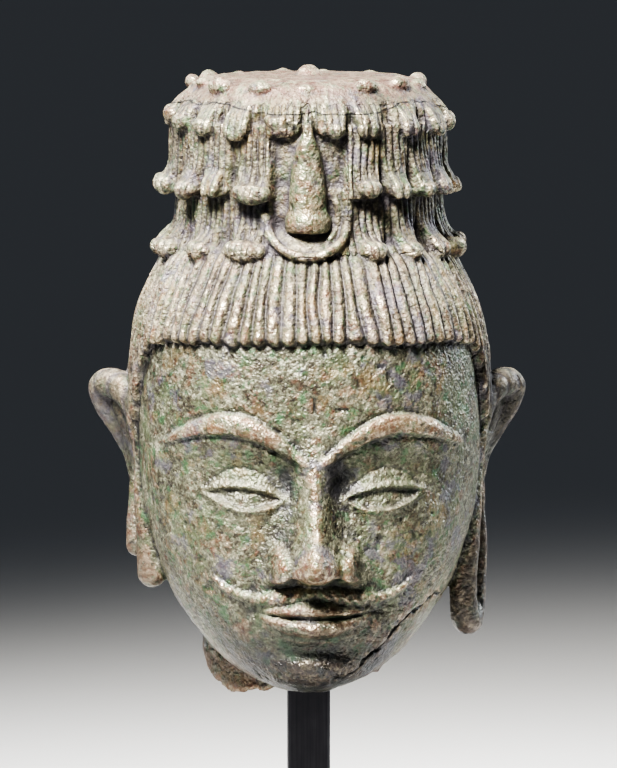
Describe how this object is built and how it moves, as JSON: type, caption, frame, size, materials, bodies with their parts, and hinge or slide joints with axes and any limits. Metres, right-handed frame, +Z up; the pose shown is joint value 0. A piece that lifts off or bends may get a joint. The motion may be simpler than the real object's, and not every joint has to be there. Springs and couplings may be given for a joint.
{
  "type": "bodhisattva head sculpture",
  "caption": "Hollow bronze head of a bodhisattva with piled, curled locks, a small stupa in relief and long ear lobes, shown on a square bar and a flat foot.",
  "frame": {"origin": "middle of the foot's underside, on the axis of the square bar", "axes": "+Z up along the bar, the face looks along -Y, +X to the right of someone who looks at the face"},
  "size_m": [0.1308, 0.1318, 0.2625],
  "materials": {
    "patinated_bronze": "corroded green, grey and brown patina, rubbed on the ridges",
    "dark_steel": "dark satin",
    "black_steel": "black satin"
  },
  "bodies": {
    "root": {"head": "patinated_bronze", "post": "dark_steel", "foot": "black_steel"}
  },
  "joints": []
}
